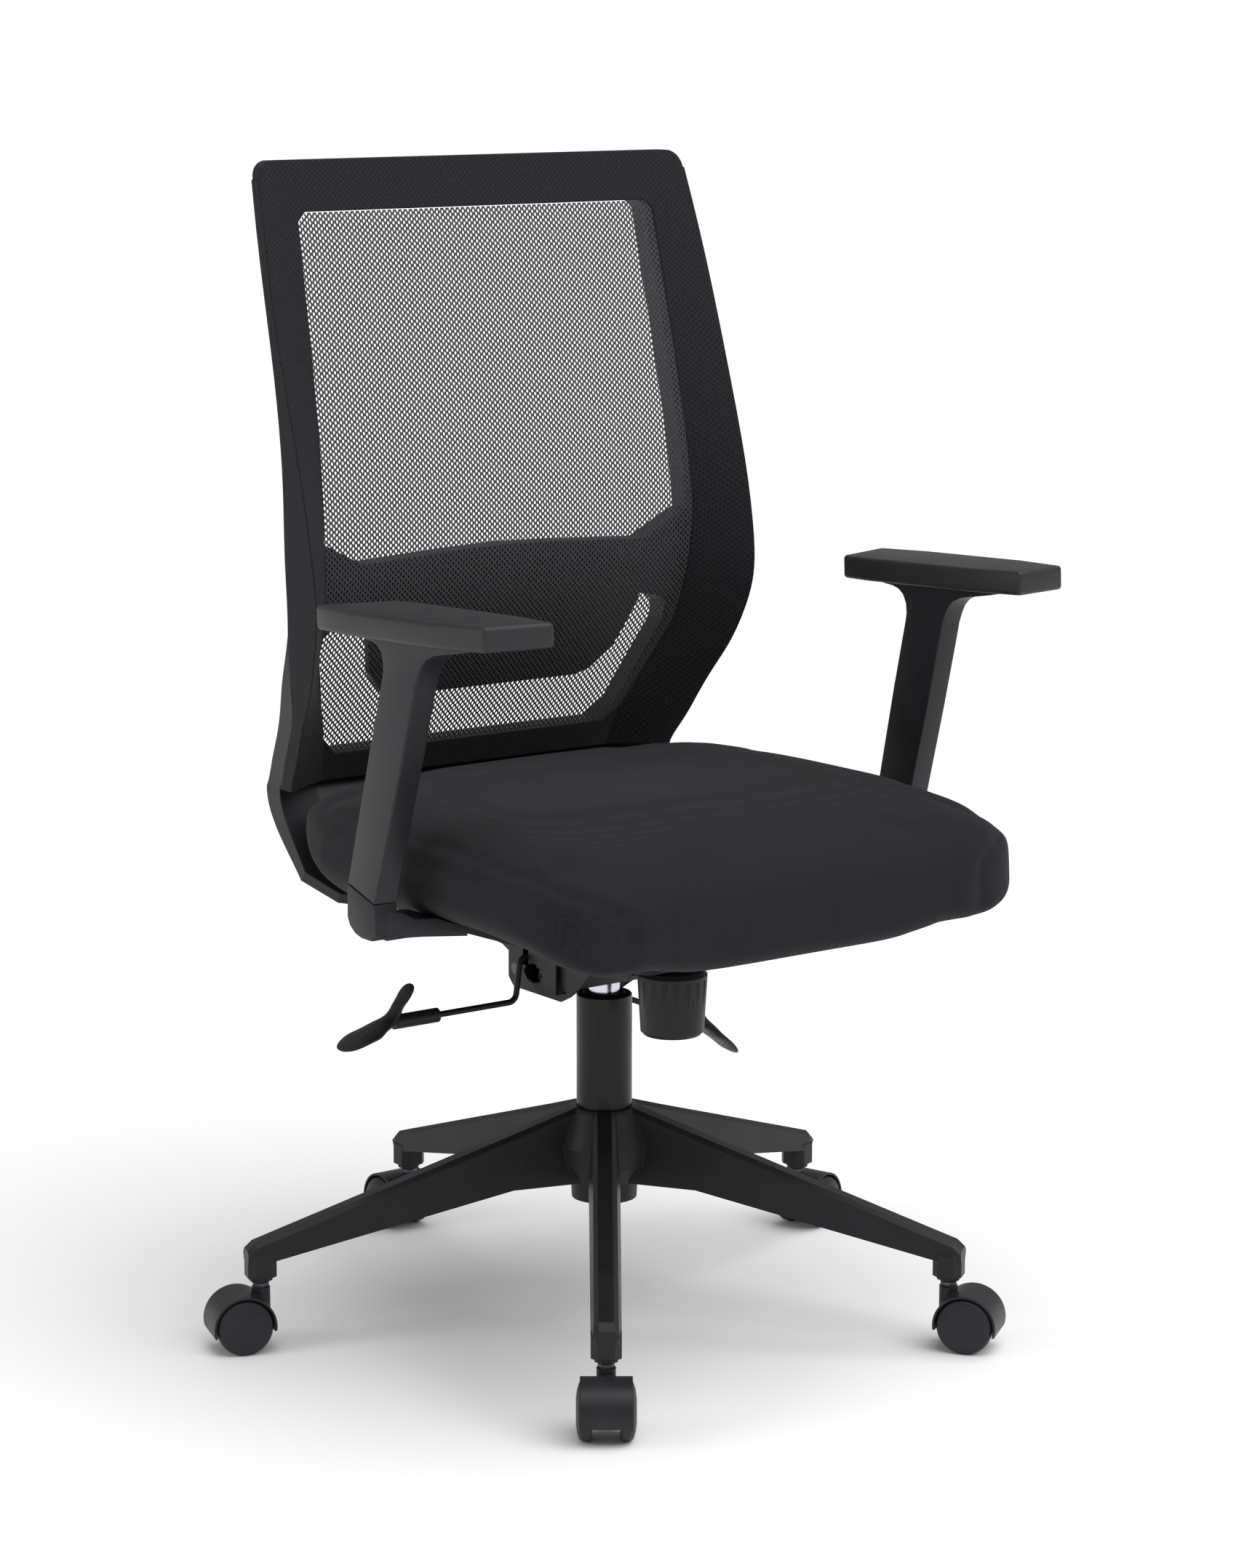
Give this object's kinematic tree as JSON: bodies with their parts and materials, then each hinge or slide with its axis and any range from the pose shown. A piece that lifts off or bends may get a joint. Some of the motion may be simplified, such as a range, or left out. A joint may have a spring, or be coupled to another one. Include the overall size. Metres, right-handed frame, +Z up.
{
  "type": "office swivel chair",
  "caption": "Mesh-back office swivel chair on a star base with twin-wheel castors, gas height column, synchro tilt, lumbar pad and height-adjustable armrests.",
  "frame": {"origin": "on the floor, on the axis of the gas column", "axes": "+Z up the column, the sitter faces -Y, +X is the sitter's left"},
  "size_m": [0.7124, 0.6793, 1.036],
  "materials": {
    "base_plastic": "satin moulded nylon, near black",
    "castor_plastic": "satin moulded nylon, near black",
    "castor_tread": "smooth hard tread, black",
    "column_paint": "semi-gloss black paint",
    "bright_steel": "ground and chromed",
    "plain_steel": "machined",
    "bearing_brass": "plain",
    "mechanism_paint": "satin black powder coat",
    "spring_steel": "black oxide",
    "black_plastic": "fine spark texture",
    "pan_plastic": "moulded, satin",
    "seat_fabric": "closely woven black cloth",
    "shell_plastic": "fine grain, charcoal",
    "carrier_fabric": "black knitted border",
    "mesh_fabric": "black knitted mesh with open cells",
    "lumbar_plastic": "smooth",
    "pad_rubber": "soft skinned foam",
    "arm_plastic": "fine grain, charcoal"
  },
  "bodies": {
    "base": {"base_star": "base_plastic", "column_tube": "column_paint", "guide_bush": "black_plastic", "thrust_bearing": "bearing_brass"},
    "column_rod": {"piston_rod": "plain_steel", "retaining_clip": "plain_steel"},
    "mechanism": {"gas_cylinder": "bright_steel", "mechanism_case": "mechanism_paint", "front_pivot_pin": "plain_steel", "rear_pivot_pin": "plain_steel", "tension_springs": "spring_steel", "spring_plate": "mechanism_paint"},
    "release_pin": {"release_pin": "plain_steel"},
    "tension_adjuster": {"tension_knob": "black_plastic", "tension_screw": "plain_steel"},
    "height_lever": {"height_lever_rod": "mechanism_paint", "height_lever_paddle": "black_plastic"},
    "lock_lever": {"lock_lever_rod": "mechanism_paint", "lock_lever_paddle": "black_plastic"},
    "back": {"back_bracket": "mechanism_paint", "link_pin": "plain_steel", "back_shell": "shell_plastic", "mesh_carrier": "carrier_fabric", "back_mesh": "mesh_fabric", "lumbar_pad": "lumbar_plastic", "back_screws": "spring_steel"},
    "seat": {"seat_plate": "mechanism_paint", "seat_pan": "pan_plastic", "seat_cushion": "seat_fabric", "seat_screws": "spring_steel", "arm_bar_left": "mechanism_paint", "arm_bar_right": "mechanism_paint", "arm_bracket_left": "arm_plastic", "arm_bracket_right": "arm_plastic"},
    "castor_1_fork": {"castor_1_hood": "castor_plastic", "castor_1_pins": "plain_steel"},
    "castor_1_left": {"castor_1_wheel_left": "castor_tread"},
    "castor_1_right": {"castor_1_wheel_right": "castor_tread"},
    "castor_2_fork": {"castor_2_hood": "castor_plastic", "castor_2_pins": "plain_steel"},
    "castor_2_left": {"castor_2_wheel_left": "castor_tread"},
    "castor_2_right": {"castor_2_wheel_right": "castor_tread"},
    "castor_3_fork": {"castor_3_hood": "castor_plastic", "castor_3_pins": "plain_steel"},
    "castor_3_left": {"castor_3_wheel_left": "castor_tread"},
    "castor_3_right": {"castor_3_wheel_right": "castor_tread"},
    "castor_4_fork": {"castor_4_hood": "castor_plastic", "castor_4_pins": "plain_steel"},
    "castor_4_left": {"castor_4_wheel_left": "castor_tread"},
    "castor_4_right": {"castor_4_wheel_right": "castor_tread"},
    "castor_5_fork": {"castor_5_hood": "castor_plastic", "castor_5_pins": "plain_steel"},
    "castor_5_left": {"castor_5_wheel_left": "castor_tread"},
    "castor_5_right": {"castor_5_wheel_right": "castor_tread"},
    "arm_left": {"arm_sleeve_left": "arm_plastic", "arm_pad_left": "pad_rubber"},
    "arm_button_left": {"arm_button_left": "arm_plastic"},
    "arm_right": {"arm_sleeve_right": "arm_plastic", "arm_pad_right": "pad_rubber"},
    "arm_button_right": {"arm_button_right": "arm_plastic"}
  },
  "joints": [
    {"name": "castor_1_swivel", "type": "hinge", "parent": "base", "child": "castor_1_fork", "pos_m": [-0.00257, 0.31999, 0.07], "axis": [0, 0, 1], "continuous": true},
    {"name": "castor_1_spin_left", "type": "hinge", "parent": "castor_1_fork", "child": "castor_1_left", "pos_m": [-0.02132, 0.33884, 0.025], "axis": [-1, -0.008, 0], "continuous": true},
    {"name": "castor_1_spin_right", "type": "hinge", "parent": "castor_1_fork", "child": "castor_1_right", "pos_m": [0.01588, 0.33914, 0.025], "axis": [-1, -0.008, 0], "continuous": true},
    {"name": "castor_2_swivel", "type": "hinge", "parent": "base", "child": "castor_2_fork", "pos_m": [-0.30512, 0.09644, 0.07], "axis": [0, 0, 1], "continuous": true},
    {"name": "castor_2_spin_left", "type": "hinge", "parent": "castor_2_fork", "child": "castor_2_left", "pos_m": [-0.32884, 0.08443, 0.025], "axis": [-0.3014, -0.9535, 0], "continuous": true},
    {"name": "castor_2_spin_right", "type": "hinge", "parent": "castor_2_fork", "child": "castor_2_right", "pos_m": [-0.31763, 0.1199, 0.025], "axis": [-0.3014, -0.9535, 0], "continuous": true},
    {"name": "castor_3_swivel", "type": "hinge", "parent": "base", "child": "castor_3_fork", "pos_m": [-0.18601, -0.26039, 0.07], "axis": [0, 0, 1], "continuous": true},
    {"name": "castor_3_spin_left", "type": "hinge", "parent": "castor_3_fork", "child": "castor_3_left", "pos_m": [-0.18192, -0.28666, 0.025], "axis": [0.8137, -0.5813, 0], "continuous": true},
    {"name": "castor_3_spin_right", "type": "hinge", "parent": "castor_3_fork", "child": "castor_3_right", "pos_m": [-0.21219, -0.26504, 0.025], "axis": [0.8137, -0.5813, 0], "continuous": true},
    {"name": "castor_4_swivel", "type": "hinge", "parent": "base", "child": "castor_4_fork", "pos_m": [0.19016, -0.25737, 0.07], "axis": [0, 0, 1], "continuous": true},
    {"name": "castor_4_spin_left", "type": "hinge", "parent": "castor_4_fork", "child": "castor_4_left", "pos_m": [0.21641, -0.2616, 0.025], "axis": [0.8043, 0.5943, 0], "continuous": true},
    {"name": "castor_4_spin_right", "type": "hinge", "parent": "castor_4_fork", "child": "castor_4_right", "pos_m": [0.18649, -0.2837, 0.025], "axis": [0.8043, 0.5943, 0], "continuous": true},
    {"name": "castor_5_swivel", "type": "hinge", "parent": "base", "child": "castor_5_fork", "pos_m": [0.30353, 0.10133, 0.07], "axis": [0, 0, 1], "continuous": true},
    {"name": "castor_5_spin_left", "type": "hinge", "parent": "castor_5_fork", "child": "castor_5_left", "pos_m": [0.31567, 0.12498, 0.025], "axis": [-0.3166, 0.9485, 0], "continuous": true},
    {"name": "castor_5_spin_right", "type": "hinge", "parent": "castor_5_fork", "child": "castor_5_right", "pos_m": [0.32745, 0.0897, 0.025], "axis": [-0.3166, 0.9485, 0], "continuous": true},
    {"name": "base_swivel", "type": "hinge", "parent": "base", "child": "column_rod", "pos_m": [0, 0, 0.12], "axis": [0, 0, 1], "continuous": true},
    {"name": "gas_lift", "type": "slide", "parent": "column_rod", "child": "mechanism", "axis": [0, 0, 1], "range_m": [0, 0.1]},
    {"name": "release_pin_press", "type": "slide", "parent": "mechanism", "child": "release_pin", "axis": [0, 0, -1], "range_m": [0, 0.004], "stiffness_N_per_m": 800, "springref_m": -0.004},
    {"name": "tension_turn", "type": "hinge", "parent": "mechanism", "child": "tension_adjuster", "pos_m": [0, -0.102, 0.31], "axis": [0, 0, 1], "continuous": true},
    {"name": "height_lever_lift", "type": "hinge", "parent": "mechanism", "child": "height_lever", "pos_m": [-0.024, 0.04, 0.334], "axis": [0, 1, 0], "range_deg": [0, 8]},
    {"name": "lock_lever_lift", "type": "hinge", "parent": "mechanism", "child": "lock_lever", "pos_m": [0.024, 0.02, 0.334], "axis": [0, -1, 0], "range_deg": [0, 22.5]},
    {"name": "back_recline", "type": "hinge", "parent": "mechanism", "child": "back", "pos_m": [0, 0.058, 0.318], "axis": [-1, 0, 0], "range_deg": [0, 18], "stiffness_Nm_per_rad": 90, "springref_deg": -25.78},
    {"name": "seat_tilt", "type": "hinge", "parent": "mechanism", "child": "seat", "pos_m": [0, -0.112, 0.353], "axis": [-1, 0, 0], "range_deg": [0, 6.7]},
    {"name": "arm_left_height", "type": "slide", "parent": "seat", "child": "arm_left", "axis": [-0.0303, -0.2672, 0.9632], "range_m": [0, 0.065]},
    {"name": "arm_left_button_press", "type": "slide", "parent": "arm_left", "child": "arm_button_left", "axis": [0.0084, -0.9636, -0.2671], "range_m": [0, 0.0012], "stiffness_N_per_m": 600, "springref_m": -0.002},
    {"name": "arm_right_height", "type": "slide", "parent": "seat", "child": "arm_right", "axis": [0.0303, -0.2672, 0.9632], "range_m": [0, 0.065]},
    {"name": "arm_right_button_press", "type": "slide", "parent": "arm_right", "child": "arm_button_right", "axis": [-0.0084, -0.9636, -0.2671], "range_m": [0, 0.0012], "stiffness_N_per_m": 600, "springref_m": -0.002}
  ],
  "couplings": [
    {"joint": "seat_tilt", "follows": "back_recline", "ratio": 0.37},
    {"joint": "release_pin_press", "follows": "height_lever_lift", "m_per_rad": 0.0275}
  ]
}
